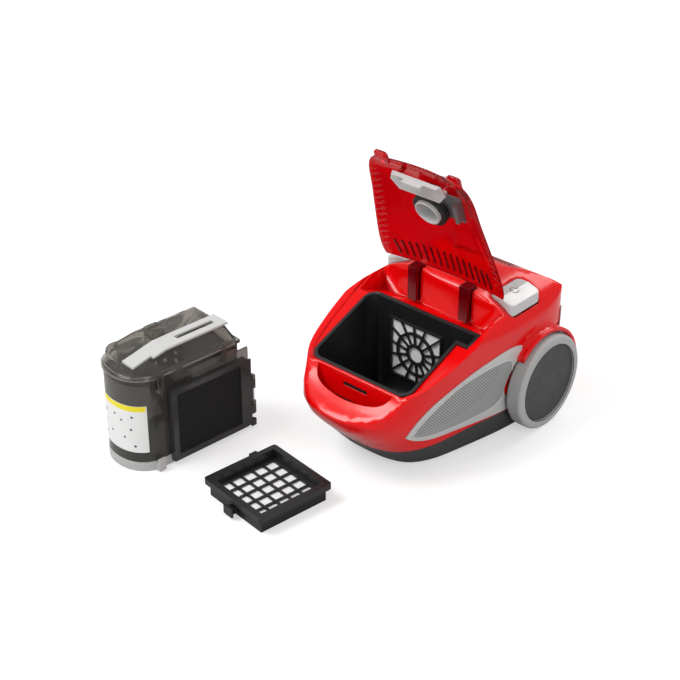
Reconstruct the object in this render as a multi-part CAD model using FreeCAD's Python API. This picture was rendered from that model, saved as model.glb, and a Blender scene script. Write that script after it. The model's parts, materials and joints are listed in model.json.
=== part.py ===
"""Canister vacuum cleaner with its lid raised, its dust container standing beside it and
its filter cassette lying in front. Millimetres, +Z up, the nose towards -Y.

The cleaner is drawn about its own centre plane, with the floor at z = 0. The container and
the cassette are drawn about a corner and a centre of their own and then set down. Last, the
whole set is moved so that the origin is at the middle of its footprint."""
import FreeCAD, Part
import math
import os

V = FreeCAD.Vector
X_AXIS, Y_AXIS, Z_AXIS = V(1, 0, 0), V(0, 1, 0), V(0, 0, 1)

# The middle of the footprint of the whole set, in the cleaner's own frame
SET_MIDDLE = V(-74.0, -56.0, 0)

# Body shell
WALL = 2.5
SEAM_Z = 41.0                # joint between the base pan and the red shell
SEAM_FRONT_Z = 49.0
DECK_SLOPE = 0.385           # the bay's rim plane climbs this much per mm towards the rear
RIM_FRONT_Y, RIM_FRONT_Z = -116.0, 139.5
HOOD_Y = 60.0                # front wall of the hood, behind the bay
SEAT_DEPTH = 3.0             # the lid sits this far below the rim

# Wheels
WHEEL_R = 70.4
WHEEL_Y = 136.5
WHEEL_FACE_X = 140.0
WHEEL_WIDTH = 25.0
ARCH_Y = 84.0                # the flared arch starts here, behind the side panel
HUB_R = 57.5
AXLE_R = 5.0
BOSS_X = 97.0
RUNNING_GAP = 0.05
CASTER_Y, CASTER_R, CASTER_W = -48.0, 9.5, 18.0

CUP_Z = 22.6                 # roof of the caster's cup
STEM_R = 4.0

# Bay, liner and motor filter
BAY_HALF_X = 84.0
BAY_FRONT_Y, BAY_REAR_Y = -113.0, 11.0
BAY_FLOOR_Z = 26.0
LINER_WALL = 2.2
NOTCH_X, NOTCH_Y = 104.0, -10.0
FILTER_W, FILTER_H, FILTER_Z = 92.0, 93.0, 117.0
FOAM_DEPTH = 14.0

# Lid: worked out closed, then swung up to the angle at which it rests
LID_CHORD = 192.0
LID_OPEN_DEG = 92.0
LID_WALL = 2.4
PIVOT_Y, PIVOT_Z = 65.5, 211.0
CHORD_DEG = 201.8            # from the rear edge down to the tip, measured from +Y to +Z
LID_REAR_Y, LID_REAR_Z = 57.0, 209.5
ARM_X, ARM_W = 45.0, 15.0
PIN_R = 2.5
TUBE_S, TUBE_R, TUBE_BORE_R = 116.0, 20.0, 17.5
TUBE_LEAN = 6.0
LATCH_S, LATCH_H, LATCH_BAR_R = 168.0, 1.5, 2.2

SCREW_PLACES = [(-62, -30), (62, -30), (-80, 60), (80, 60), (-64, 166), (64, 166)]
SCREW_HEAD_R, SCREW_R = 4.0, 1.8

# Motor, reel and pedals
MOTOR_X, MOTOR_Z, MOTOR_R = 26.0, 100.0, 45.0
MOTOR_Y0, MOTOR_Y1 = 42.0, 126.0
REEL_X0, REEL_X1 = -92.0, -50.0
REEL_Y, REEL_Z, REEL_R = 128.0, 104.0, 52.0
PEDAL_X0, PEDAL_X1 = 72.0, 112.0
PEDAL_Y0, PEDAL_Y1 = 74.0, 140.0
PEDAL_Z0, PEDAL_Z1 = 190.0, 213.0
PEDAL_GAP = 0.5
STEM_PEDAL_R = 4.6
GLAND_X, GLAND_Z = -60.0, 62.0
TRIM_Y0, TRIM_Y1, TRIM_Z0, TRIM_Z1 = 192.0, 204.0, 115.0, 157.0

# Dust container, in its own frame: x along its length, y away from its filter door
CONTAINER_AT = V(-180.6, -313.4, 0)
CONTAINER_YAW = 84.6
CONTAINER_TOP = 143.0
BAND_H = 14.0
BODY_L = 150.0
BODY_Y0, BODY_Y1 = 10.0, 100.0
FLAP_HINGE_X, FLAP_HINGE_Z = 157.0, 6.0
PORT_X, PORT_Y = 50.0, 62.0

# Filter cassette, in its own frame: centred, x towards the cleaner's rear
CASSETTE_AT = V(-33.0, -254.0, 0)
CASSETTE_YAW = 82.7
CASSETTE_W, CASSETTE_H = 121.0, 28.0
GRID_N, GRID_BAR = 5, 3.0

parts = {}


# ---------------------------------------------------------------- helpers
def box(x0, x1, y0, y1, z0, z1):
    return Part.makeBox(x1 - x0, y1 - y0, z1 - z0, V(x0, y0, z0))


def cyl(radius, start, end):
    axis = end - start
    return Part.makeCylinder(radius, axis.Length, start, axis)


def tube(outer, inner, start, end):
    return cyl(outer, start, end).cut(cyl(inner, start, end))


def fuse(shapes):
    result = shapes[0]
    for shape in shapes[1:]:
        result = result.fuse(shape)
    return result.removeSplitter()


def mirrored(shape):
    return shape.mirror(V(0, 0, 0), X_AXIS)


def polygon(points):
    return Part.makePolygon(points + [points[0]])


def spline_edge(points):
    curve = Part.BSplineCurve()
    curve.interpolate(points)
    return curve.toShape()


def prism(wire, direction):
    return Part.Face(wire).extrude(direction)


def prism_yz(points, x0, x1):
    return prism(polygon([V(x0, y, z) for y, z in points]), V(x1 - x0, 0, 0))


def prism_xy(points, z0, z1):
    return prism(polygon([V(x, y, z0) for x, y in points]), V(0, 0, z1 - z0))


def rounded_prism(x0, x1, y0, y1, z0, z1, radius):
    block = box(x0, x1, y0, y1, z0, z1)
    upright = [e for e in block.Edges if abs(e.Vertexes[0].Z - e.Vertexes[1].Z) > 1e-6]
    return block.makeFillet(radius, upright)


def rim_z(y):
    return RIM_FRONT_Z + DECK_SLOPE * (y - RIM_FRONT_Y)


# ---------------------------------------------------------------- hull
# Half outlines of the body from the nose to the tail, one for each height
PLANS = {
    8.0: [(0, -92), (35, -89), (58, -78), (72, -62), (82, -40), (90, -8), (98, 30),
          (106, 75), (110, 120), (110, 165), (100, 195), (70, 212), (0, 218)],
    50.0: [(0, -130), (36, -127), (64, -113), (80, -92), (91, -62), (97, -20), (103, 28),
           (110, 75), (114, 120), (113, 165), (102, 197), (72, 215), (0, 221)],
    97.0: [(0, -167), (38, -162), (68, -146), (88, -118), (98, -80), (104, -32), (109, 20),
           (114, 70), (117, 118), (115, 166), (104, 199), (74, 217), (0, 222)],
    140.0: [(0, -140), (45, -136), (78, -125), (95, -106), (105, -76), (111, -35), (115, 15),
            (118, 70), (119, 118), (117, 166), (105, 200), (75, 217), (0, 222)],
    225.0: [(0, -132), (50, -130), (86, -120), (103, -98), (112, -66), (117, -30), (120, 15),
            (121, 70), (121, 118), (118, 166), (106, 200), (76, 217), (0, 222)],
}
LOFT_HEIGHTS = [8, 29, 50, 66, 82, 97, 112, 126, 140, 168, 196, 225]
SIDE_NOSE = [(-172, 97), (-158, 105), (-138, 118), (RIM_FRONT_Y, RIM_FRONT_Z)]
SIDE_TOP = [(HOOD_Y + 2, 217.5), (100, 221), (140, 218.5), (170, 210), (195, 192), (212, 165),
            (221, 130), (223, 100), (221, 60), (210, 30), (188, 11), (176, 8)]
SIDE_UNDER = [(-70, 8), (-95, 13), (-113, 24), (-124, 34)]
CROWN = [(125, 155), (122, 166), (118, 178), (111, 191), (98, 202), (76, 211), (40, 218.5),
         (0, 221)]
PLAN_MIDDLE_Y = 30.0
WAIST = 7                    # the outline point where the nose curve meets the tail curve


def plan_points(z):
    """The half outline at a height, with the drawn heights joined by smooth curves in z."""
    heights = sorted(PLANS)
    i = max(k for k, h in enumerate(heights[:-1]) if h <= z)
    low, high = heights[i], heights[i + 1]
    before, after = heights[max(i - 1, 0)], heights[min(i + 2, len(heights) - 1)]
    t = (z - low) / (high - low)
    span = high - low
    points = []
    for p0, p1, p2, p3 in zip(PLANS[before], PLANS[low], PLANS[high], PLANS[after]):
        point = []
        for k in (0, 1):
            m1 = (p2[k] - p0[k]) / (high - before) * span
            m2 = (p3[k] - p1[k]) / (after - low) * span
            point.append(p1[k] * (2 * t**3 - 3 * t**2 + 1) + m1 * (t**3 - 2 * t**2 + t)
                         + p2[k] * (3 * t**2 - 2 * t**3) + m2 * (t**3 - t**2))
        points.append(tuple(point))
    return points


def plan_wire(z, inset):
    half = []
    for x, y in plan_points(z):
        shift = inset * (PLAN_MIDDLE_Y - y) / 180.0
        half.append((max(x - inset, 0) if x > 0 else 0, y + shift))
    front = half[WAIST::-1] + [(-x, y) for x, y in half[1:WAIST + 1]]
    rear = [(-x, y) for x, y in half[WAIST:-1]] + half[:WAIST - 1:-1]
    run = V(half[WAIST + 1][0] - half[WAIST - 1][0], half[WAIST + 1][1] - half[WAIST - 1][1], 0)
    run.normalize()
    backwards_left = V(-run.x, run.y, 0)
    nose, tail = Part.BSplineCurve(), Part.BSplineCurve()
    nose.interpolate(Points=[V(x, y, z) for x, y in front], InitialTangent=V(0, 0, 0) - run,
                     FinalTangent=backwards_left)
    tail.interpolate(Points=[V(x, y, z) for x, y in rear], InitialTangent=backwards_left,
                     FinalTangent=V(0, 0, 0) - run)
    return Part.Wire([nose.toShape(), tail.toShape()])


def drawn_in(outline, inset):
    """A clockwise closed outline with each of its points moved so that both sides move in."""
    moved = []
    for k, (y, z) in enumerate(outline):
        before, after = outline[k - 1], outline[(k + 1) % len(outline)]
        one = V(0, z - before[1], before[0] - y)
        two = V(0, after[1] - z, y - after[0])
        one.normalize()
        two.normalize()
        shift = (one + two) * (inset / (1 + one.dot(two)))
        moved.append((y + shift.y, z + shift.z))
    return moved


def side_prism(inset):
    """The body seen from its side, as a prism across the whole width."""
    far = 240
    corner = (HOOD_Y, rim_z(HOOD_Y))
    outline = SIDE_NOSE + [corner] + SIDE_TOP + SIDE_UNDER + [(-190, 34), (-190, 97)]
    points = [V(-far, y, z) for y, z in drawn_in(outline, inset)]
    n, t = len(SIDE_NOSE), len(SIDE_NOSE) + 1 + len(SIDE_TOP)
    u = t + len(SIDE_UNDER)
    runs = [points[n - 1:n + 2], [points[t - 1], points[t]], points[u - 1:] + [points[0]]]
    edges = [spline_edge(points[:n]), spline_edge(points[n + 1:t]), spline_edge(points[t:u])]
    for run in runs:
        edges += [Part.makeLine(p, q) for p, q in zip(run, run[1:])]
    return prism(Part.Wire(Part.sortEdges(edges)[0]), V(2 * far, 0, 0))


def crown_prism(inset):
    far = 260
    half = [V(x, -far, z) for x, z in CROWN]
    arch = spline_edge(half + [V(-p.x, p.y, p.z) for p in reversed(half[:-1])])
    left = Part.makeLine(V(-125, -far, 155), V(-125, -far, -5))
    low = Part.makeLine(V(-125, -far, -5), V(125, -far, -5))
    right = Part.makeLine(V(125, -far, -5), V(125, -far, 155))
    solid = prism(Part.Wire([arch, left, low, right]), V(0, 2 * far, 0))
    solid.translate(V(0, 0, -inset))
    return solid


def hull(inset=0.0):
    """The outside of the body as one solid, drawn in by a distance on every side."""
    loft = Part.makeLoft([plan_wire(z, inset) for z in LOFT_HEIGHTS], True, True)
    return loft.common(side_prism(inset)).common(crown_prism(inset))


def below_seam():
    outline = [(-240, 0), (-240, SEAM_FRONT_Z + 3), (-90, SEAM_Z), (260, SEAM_Z), (260, 0)]
    return prism_yz(outline, -200, 200)


# ---------------------------------------------------------------- recesses in the hull
def seat_recess(grow):
    """The shallow seat round the bay, for the edge of the lid."""
    y0, y1 = BAY_FRONT_Y - 3 - grow, HOOD_Y + grow
    depth = SEAT_DEPTH + grow
    outline = [(80 + grow, y0), (92 + grow, -100), (102 + grow, -50), (107 + grow, 0),
               (108 + grow, y1)]
    plan = prism_xy(outline + [(-x, y) for x, y in reversed(outline)], 100, 260)
    climb = [(y0, rim_z(y0) - depth), (y1, rim_z(y1) - depth), (y1, 260), (y0, 260)]
    return plan.common(prism_yz(climb, -130, 130))


def hinge_pit(grow):
    """The trough between the bay and the hood, where the lid's two arms hang."""
    floor = [(BAY_REAR_Y - 3 - grow, 182 - grow), (HOOD_Y + grow, 163 - grow),
             (HOOD_Y + grow, 260), (BAY_REAR_Y - 3 - grow, 260)]
    return prism_yz(floor, -104 - grow, 104 + grow)


def finger_pocket(grow):
    """The opening behind the front handle bar, a bow in plan."""
    y0 = BAY_FRONT_Y - 5 + grow
    bow = spline_edge([V(66 + grow, y0, 62 - grow), V(58, -129 - grow, 62 - grow),
                       V(36, -137.5 - grow, 62 - grow), V(0, -141 - grow, 62 - grow),
                       V(-36, -137.5 - grow, 62 - grow), V(-58, -129 - grow, 62 - grow),
                       V(-66 - grow, y0, 62 - grow)])
    chord = Part.makeLine(V(-66 - grow, y0, 62 - grow), V(66 + grow, y0, 62 - grow))
    return prism(Part.Wire([bow, chord]), V(0, 0, 120))


def wheel_wells(grow):
    inner_x = WHEEL_FACE_X - WHEEL_WIDTH - 3 - grow
    well = cyl(WHEEL_R + 3 + grow, V(inner_x, WHEEL_Y, WHEEL_R), V(160, WHEEL_Y, WHEEL_R))
    return well.fuse(mirrored(well))


def pedal_pockets(grow):
    gap = PEDAL_GAP + grow
    floor_z = PEDAL_Z0 - 6 - grow
    pocket = rounded_prism(PEDAL_X0 - gap, PEDAL_X1 + gap, PEDAL_Y0 - gap, PEDAL_Y1 + gap,
                           floor_z, 240, 9)
    return pocket.fuse(mirrored(pocket))


def recesses(grow):
    cuts = [seat_recess(grow), hinge_pit(grow), finger_pocket(grow), wheel_wells(grow),
            pedal_pockets(grow)]
    return fuse(cuts)


def bay_opening(grow, z0):
    main = rounded_prism(-BAY_HALF_X - grow, BAY_HALF_X + grow, BAY_FRONT_Y - grow,
                         BAY_REAR_Y + grow, z0, 260, 16 + grow)
    notch = box(60, NOTCH_X + grow, NOTCH_Y - grow, BAY_REAR_Y + grow, z0, 260)
    return main.fuse(notch).removeSplitter()


def wheel_arch():
    """The flared lip of the red shell over the rear wheel."""
    start, end = V(104, WHEEL_Y, WHEEL_R), V(131, WHEEL_Y, WHEEL_R)
    ring = tube(WHEEL_R + 9, WHEEL_R + 3, start, end)
    outside = ring.common(box(100, 140, ARCH_Y, 260, 72, 200))
    edges = [e for e in outside.Edges if e.BoundBox.XMin > 130.9 and e.Length > 60]
    return outside.makeFillet(2.5, edges)


def arm_slots(z0):
    slots = [box(x - ARM_W / 2 - 1.5, x + ARM_W / 2 + 1.5, HOOD_Y - 1, HOOD_Y + 13, z0, 240)
             for x in (-ARM_X, ARM_X)]
    return fuse(slots)


def grille_prism(gap):
    return rounded_prism(-54 + gap, 54 - gap, 152 + gap, 204 - gap, 150, 240, 8)


HULL = hull()
HULL_INNER = hull(WALL)
RECESSES = recesses(0.0)
SKIN = HULL.cut(RECESSES).cut(HULL_INNER.cut(recesses(WALL)))


def upper_shell():
    shell = SKIN.cut(below_seam()).cut(bay_opening(0.3, 120))
    arch = wheel_arch()
    arches = fuse([arch, mirrored(arch)]).cut(HULL_INNER)
    shell = shell.fuse(arches).cut(wheel_wells(0))
    shell = shell.cut(arm_slots(168)).cut(grille_prism(0)).cut(finger_slot())
    stems = [cyl(5, V(s * (PEDAL_X0 + PEDAL_X1) / 2, (PEDAL_Y0 + PEDAL_Y1) / 2, 160),
                 V(s * (PEDAL_X0 + PEDAL_X1) / 2, (PEDAL_Y0 + PEDAL_Y1) / 2, 200))
             for s in (-1, 1)]
    for stem in stems:
        shell = shell.cut(stem)
    axle_hole = cyl(AXLE_R + 0.3, V(-118, WHEEL_Y, WHEEL_R), V(118, WHEEL_Y, WHEEL_R))
    return biggest(shell.cut(axle_hole))


def finger_slot():
    """The slot in the pocket's rear wall, opposite the closed lid's latch."""
    return box(-21, 21, BAY_FRONT_Y - 6, BAY_FRONT_Y + LINER_WALL + 1, 119, 125)


def biggest(shape):
    return max(shape.Solids, key=lambda s: s.Volume)


def base_pan():
    pan = SKIN.common(below_seam())
    well = cyl(CASTER_R + 7, V(0, CASTER_Y, 0), V(0, CASTER_Y, CUP_Z))
    cup = cyl(CASTER_R + 9, V(0, CASTER_Y, 9), V(0, CASTER_Y, CUP_Z + 2.2)).cut(well)
    pivot = cyl(STEM_R + RUNNING_GAP, V(0, CASTER_Y, 15), V(0, CASTER_Y, 30))
    pan = fuse([pan.cut(well), cup.cut(pivot)])
    for x, y in SCREW_PLACES:
        pan = pan.cut(cyl(SCREW_HEAD_R, V(x, y, 0), V(x, y, 14)))
    bosses = [tube(14, AXLE_R, V(s * BOSS_X, WHEEL_Y, WHEEL_R), V(s * 109, WHEEL_Y, WHEEL_R))
              for s in (-1, 1)]
    posts = [box(min(s * BOSS_X, s * 104), max(s * BOSS_X, s * 104), WHEEL_Y - 12,
                 WHEEL_Y + 12, 10, WHEEL_R - 8) for s in (-1, 1)]
    for boss, post in zip(bosses, posts):
        bore = cyl(AXLE_R, V(boss.BoundBox.XMin - 1, WHEEL_Y, WHEEL_R),
                   V(boss.BoundBox.XMax + 1, WHEEL_Y, WHEEL_R))
        pan = pan.fuse(boss).fuse(post.cut(bore))
    return biggest(pan.removeSplitter())


# ---------------------------------------------------------------- bay
def bay_liner():
    lean = [(-150, rim_z(-150) - 0.5), (60, rim_z(60) - 0.5), (60, 0), (-150, 0)]
    under_rim = prism_yz(lean, -130, 130)
    above = box(-130, 130, -160, 80, 112, 300)
    outer = bay_opening(0, BAY_FLOOR_Z).common(HULL_INNER.fuse(above))
    inner = bay_opening(-LINER_WALL, BAY_FLOOR_Z + LINER_WALL)
    inner = inner.common(hull(WALL + LINER_WALL).fuse(above))
    tub = outer.cut(inner).common(under_rim)
    flange = bay_opening(2.5, 100).cut(bay_opening(-LINER_WALL, 90)).common(under_rim)
    band = [(-150, rim_z(-150) - 2.9), (60, rim_z(60) - 2.9), (60, 300), (-150, 300)]
    flange = flange.common(prism_yz(band, -130, 130))
    tub = tub.fuse(flange)
    window = box(-FILTER_W / 2, FILTER_W / 2, 0, 20, FILTER_Z - FILTER_H / 2,
                 FILTER_Z + FILTER_H / 2)
    return biggest(tub.cut(window).cut(finger_slot()).removeSplitter())


def motor_filter():
    """A square frame with spokes and two rings, over a block of foam."""
    gap = 0.4
    x1, z0 = FILTER_W / 2 - gap, FILTER_Z - FILTER_H / 2 + gap
    z1 = FILTER_Z + FILTER_H / 2 - gap
    y0, y1 = BAY_REAR_Y - LINER_WALL - 1.8, BAY_REAR_Y - LINER_WALL + 1.2
    frame = box(-x1, x1, y0, y1, z0, z1).cut(box(-x1 + 3, x1 - 3, 0, 20, z0 + 3, z1 - 3))
    rings = [tube(r + 2, r - 2, V(0, y0, FILTER_Z), V(0, y1, FILTER_Z)) for r in (14.0, 32.0)]
    spokes = []
    for k in range(14):
        spoke = box(13, 70, y0, y1, FILTER_Z - 1.3, FILTER_Z + 1.3)
        spoke.rotate(V(0, 0, FILTER_Z), Y_AXIS, 360.0 * k / 14 + 8)
        spokes.append(spoke)
    spokes = [s.common(box(-x1, x1, y0, y1, z0, z1)) for s in spokes]
    grille = fuse([frame] + rings + spokes)
    foam = box(-x1 + 0.2, x1 - 0.2, y1, y1 + FOAM_DEPTH, z0 + 0.2, z1 - 0.2)
    return grille, foam


def filter_housing():
    """The duct behind the bay that seats the foam and leads to the motor."""
    y0, y1 = BAY_REAR_Y, BAY_REAR_Y + FOAM_DEPTH + 6
    z0, z1 = FILTER_Z - FILTER_H / 2, FILTER_Z + FILTER_H / 2
    body = box(-FILTER_W / 2 - 2, FILTER_W / 2 + 2, y0, y1, z0 - 2, z1 + 2)
    hollow = box(-FILTER_W / 2, FILTER_W / 2, y0 - 1, y1 - 2, z0, z1)
    throat = tube(20, 17, V(MOTOR_X, y1 - 1, MOTOR_Z), V(MOTOR_X, MOTOR_Y0, MOTOR_Z))
    hole = cyl(17, V(MOTOR_X, y0, MOTOR_Z), V(MOTOR_X, MOTOR_Y0, MOTOR_Z))
    return body.cut(hollow).cut(hole).fuse(throat).removeSplitter()


# ---------------------------------------------------------------- side panels
LEAF_TOP = [(-112, 76), (-104, 97), (-82, 117), (-46, 133), (-8, 143), (30, 147.5),
            (68, 149), (92, 143.5)]
LEAF_LOW = [(80, 43.5), (20, 46), (-43, 54), (-90, 63), (-112, 76)]
PANEL_PROUD = 1.6


def leaf_prism():
    top = spline_edge([V(60, y, z) for y, z in LEAF_TOP])
    low = spline_edge([V(60, y, z) for y, z in LEAF_LOW])
    rear = Part.makeLine(V(60, *LEAF_TOP[-1]), V(60, *LEAF_LOW[0]))
    return prism(Part.Wire([top, rear, low]), V(80, 0, 0))


def side_panel():
    """The silver leaf on the flank, proud of the shell, cut back round the wheel and its arch."""
    panel = hull(-PANEL_PROUD).common(leaf_prism()).cut(HULL).cut(wheel_wells(0.4))
    lip = cyl(WHEEL_R + 9.4, V(90, WHEEL_Y, WHEEL_R), V(150, WHEEL_Y, WHEEL_R))
    return biggest(panel.cut(lip.common(box(90, 150, ARCH_Y - 0.4, 260, 72, 200))))


# ---------------------------------------------------------------- wheels and caster
def rear_wheel():
    face, back = WHEEL_FACE_X, WHEEL_FACE_X - WHEEL_WIDTH
    centre = V(0, WHEEL_Y, WHEEL_R)
    tyre = cyl(WHEEL_R, V(back, 0, 0) + centre, V(face, 0, 0) + centre)
    rims = [e for e in tyre.Edges if e.Length > 100 and e.BoundBox.XLength < 1e-3]
    tyre = tyre.makeFillet(5.0, rims)
    tyre = tyre.cut(cyl(HUB_R, V(back - 1, 0, 0) + centre, V(face + 1, 0, 0) + centre))
    disc = cyl(HUB_R, V(face - 9, 0, 0) + centre, V(face - 2.5, 0, 0) + centre)
    boss = cyl(13, V(back, 0, 0) + centre, V(face - 9, 0, 0) + centre)
    ribs = []
    for k in range(6):
        rib = box(back + 3, face - 9, WHEEL_Y + 12, WHEEL_Y + HUB_R - 0.5, WHEEL_R - 1.2,
                  WHEEL_R + 1.2)
        rib.rotate(centre, X_AXIS, 60.0 * k)
        ribs.append(rib)
    bore = cyl(AXLE_R + RUNNING_GAP, V(back - 1, 0, 0) + centre, V(face - 6, 0, 0) + centre)
    hub = fuse([disc, boss] + ribs).cut(bore)
    return tyre, hub


def wheel_axle():
    centre = V(0, WHEEL_Y, WHEEL_R)
    shaft = cyl(AXLE_R, V(BOSS_X, 0, 0) + centre, V(WHEEL_FACE_X - 7, 0, 0) + centre)
    collar = tube(9, AXLE_R, V(112.2, 0, 0) + centre, V(114.2, 0, 0) + centre)
    return shaft.fuse(collar).removeSplitter()


def caster():
    """A small swivelling wheel under the nose: fork, axle and roller."""
    axle = V(0, CASTER_Y + 4, CASTER_R)
    stem = cyl(STEM_R, V(0, CASTER_Y, 20), V(0, CASTER_Y, CUP_Z + 2.4))
    plate = cyl(CASTER_R + 4, V(0, CASTER_Y, 19.8), V(0, CASTER_Y, CUP_Z - 0.5))
    fork = stem.fuse(plate)
    for side in (-1, 1):
        x0 = side * (CASTER_W / 2 - 2.5)
        cheek = box(min(x0, x0 + side * 2), max(x0, x0 + side * 2), axle.y - 4, axle.y + 4,
                    axle.z - 4, 20.5)
        fork = fork.fuse(cheek)
    pin = cyl(1.5, V(-CASTER_W / 2, 0, 0) + axle, V(CASTER_W / 2, 0, 0) + axle)
    fork = fork.cut(pin).removeSplitter()
    half = CASTER_W / 2 - 3
    roller = cyl(CASTER_R, V(-half, 0, 0) + axle, V(half, 0, 0) + axle)
    roller = roller.makeFillet(1.5, [e for e in roller.Edges if e.BoundBox.XLength < 1e-3])
    roller = roller.cut(cyl(1.5 + RUNNING_GAP, V(-half - 1, 0, 0) + axle, V(half + 1, 0, 0) + axle))
    return fork, pin, roller


# ---------------------------------------------------------------- lid
# Stations along the chord: distance from the rear edge, half width, height of the crown
LID_STATIONS = [(0, 103, 9), (14, 107, 15), (45, 106, 23), (80, 101, 28), (118, 95, 30),
                (150, 91, 27), (172, 87, 20), (186, 79, 12), (LID_CHORD, 71, 7)]


def lid_section(s, half, crown, thick):
    """A crescent across the lid: an outer arc, an inner arc and the two edges between."""
    outer = [V(-half, s, 0), V(0, s, crown), V(half, s, 0)]
    inner = [V(half - thick, s, 0), V(0, s, crown - thick), V(-half + thick, s, 0)]
    arch = Part.Arc(*outer).toShape()
    soffit = Part.Arc(*inner).toShape()
    return Part.Wire([arch, Part.makeLine(outer[2], inner[0]), soffit,
                      Part.makeLine(inner[2], outer[0])])


def lid_place(shape):
    return swing_open(place_closed(shape))


def place_closed(shape):
    """Chord coordinates (x, distance, crown) to the closed lid, by a rigid move."""
    moved = shape.copy()
    moved.rotate(V(0, 0, 0), Z_AXIS, 180)
    moved.rotate(V(0, 0, 0), X_AXIS, CHORD_DEG - 180)
    moved.translate(V(0, LID_REAR_Y, LID_REAR_Z))
    return moved


def swing_open(shape):
    moved = shape.copy()
    moved.rotate(V(0, PIVOT_Y, PIVOT_Z), X_AXIS, -LID_OPEN_DEG)
    return moved


def on_tube(h):
    """A point on the hose inlet's leaning axis, at a height over the lid's chord."""
    return V(0, TUBE_S + TUBE_LEAN * (h + 1) / 53, h)


def lid_shell():
    loft = Part.makeLoft([lid_section(*station, LID_WALL) for station in LID_STATIONS], True)
    skirt = Part.makeLoft([lid_section(s, half - 1, crown - 1, 4.5)
                           for s, half, crown in LID_STATIONS], True)
    ribs = []
    for k in range(14):
        s = 20 + k * 11.0
        for x0, x1 in ((-112, rib_inner_x(s)), (-rib_inner_x(s), 112)):
            ribs += skirt.common(box(x0, x1, s, s + 1.6, 0.2, 30)).Solids
    bosses = [box(x, x + 3, LATCH_S - 4, LATCH_S + 3, -1.5, 15.4) for x in (-41, 38)]
    bar = cyl(LATCH_BAR_R + RUNNING_GAP, V(-50, LATCH_S, LATCH_H), V(50, LATCH_S, LATCH_H))
    shell = loft
    for piece in ribs + [b.cut(bar) for b in bosses] + [corner_lug(-1), corner_lug(1)]:
        shell = shell.fuse(piece)
    return biggest(shell.cut(cyl(TUBE_R, on_tube(-10), on_tube(60))))


def rib_inner_x(s):
    """Where the ribs along the left edge of the lid stop, at a distance from its rear."""
    return -94 + 0.115 * s


def corner_lug(side):
    """A locating lug at a front corner of the lid."""
    x0, x1 = sorted((side * 50, side * 72))
    lug = box(x0, x1, LID_CHORD - 8, LID_CHORD + 9, 0.5, 4)
    corners = [e for e in lug.Edges if abs(e.Vertexes[0].Z - e.Vertexes[1].Z) > 1
               and e.BoundBox.YMin > LID_CHORD]
    return lug.makeFillet(5, corners)


def lid_arms():
    """Two goosenecks under the lid's rear edge, each with a barrel round its hinge pin."""
    arms = []
    y, z = PIVOT_Y, PIVOT_Z
    for x in (-ARM_X, ARM_X):
        x0, x1 = x - ARM_W / 2, x + ARM_W / 2
        barrel = cyl(6, V(x0, y, z), V(x1, y, z))
        shank = box(x0, x1, y - 13.5, y - 6.5, 170, z + 7)
        heel = box(x0 + 3, x1 - 3, y - 7, y - 3.5, 170, 182)
        web = box(x0, x1, y - 10, y, z - 4, z + 4)
        neck = box(x0, x1, y - 13.5, y + 6, z + 7, z + 11.5)
        arm = fuse([barrel, shank, heel, web, neck])
        arms.append(arm.cut(cyl(PIN_R + RUNNING_GAP, V(x0 - 1, y, z), V(x1 + 1, y, z))))
    return Part.makeCompound(arms)


def hinge_pins():
    pins = [cyl(PIN_R, V(x - 14, PIVOT_Y, PIVOT_Z), V(x + 14, PIVOT_Y, PIVOT_Z))
            for x in (-ARM_X, ARM_X)]
    return Part.makeCompound(pins)


def hinge_bracket():
    """Ears inside the hood that hold the two hinge pins."""
    ears = []
    for x in (-ARM_X, ARM_X):
        for side in (-1, 1):
            near = x + side * (ARM_W / 2 + 2)
            x0, x1 = sorted((near, near + side * 4))
            ear = box(x0, x1, PIVOT_Y - 1, PIVOT_Y + 10, PIVOT_Z - 9, PIVOT_Z + 3.4)
            ears.append(ear.cut(cyl(PIN_R, V(x0 - 1, PIVOT_Y, PIVOT_Z),
                                    V(x1 + 1, PIVOT_Y, PIVOT_Z))))
    return Part.makeCompound(ears)


def inlet_parts():
    """The hose inlet through the lid: tube with its outer collar, seal ring, clamp plate."""
    pipe = cyl(TUBE_R, on_tube(-1), on_tube(52))
    collar = cyl(TUBE_R + 8, on_tube(31), on_tube(36))
    bore = cyl(TUBE_BORE_R, on_tube(-4), on_tube(56))
    pipe = pipe.fuse(collar).cut(bore).removeSplitter()
    seal = tube(TUBE_R + 7, TUBE_R, on_tube(4), on_tube(14))
    plate = box(-50, 28, TUBE_S - 12, TUBE_S + 30, 16.5, 19)
    cheek = box(-50, -44.5, TUBE_S - 4, TUBE_S + 26, 4, 16.5)
    plate = plate.fuse(cheek).cut(cyl(TUBE_R, on_tube(-4), on_tube(52)))
    return pipe, seal, plate.removeSplitter()


def latch_handle():
    """The grey release handle under the lid's front edge, with its hook."""
    plan = [(-46, LATCH_S - 2), (-40, LATCH_S + 12), (40, LATCH_S + 12), (46, LATCH_S - 2),
            (34, LATCH_S - 16), (-34, LATCH_S - 16)]
    paddle = prism_xy(plan, -6, -3.2)
    lip = box(-38, 38, LATCH_S + 9.5, LATCH_S + 12, -10, -3.2)
    bar = cyl(LATCH_BAR_R, V(-43, LATCH_S, LATCH_H), V(43, LATCH_S, LATCH_H))
    stems = [box(x - 2, x + 2, LATCH_S - 2, LATCH_S + 2, -4, LATCH_H) for x in (-30, 30)]
    hook = box(-16, 16, LATCH_S + 9.5, LATCH_S + 12, -17, -8)
    nose = box(-16, 16, LATCH_S + 7, LATCH_S + 12.5, -17, -14.5)
    return fuse([paddle, lip, bar, hook, nose] + stems)


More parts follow.
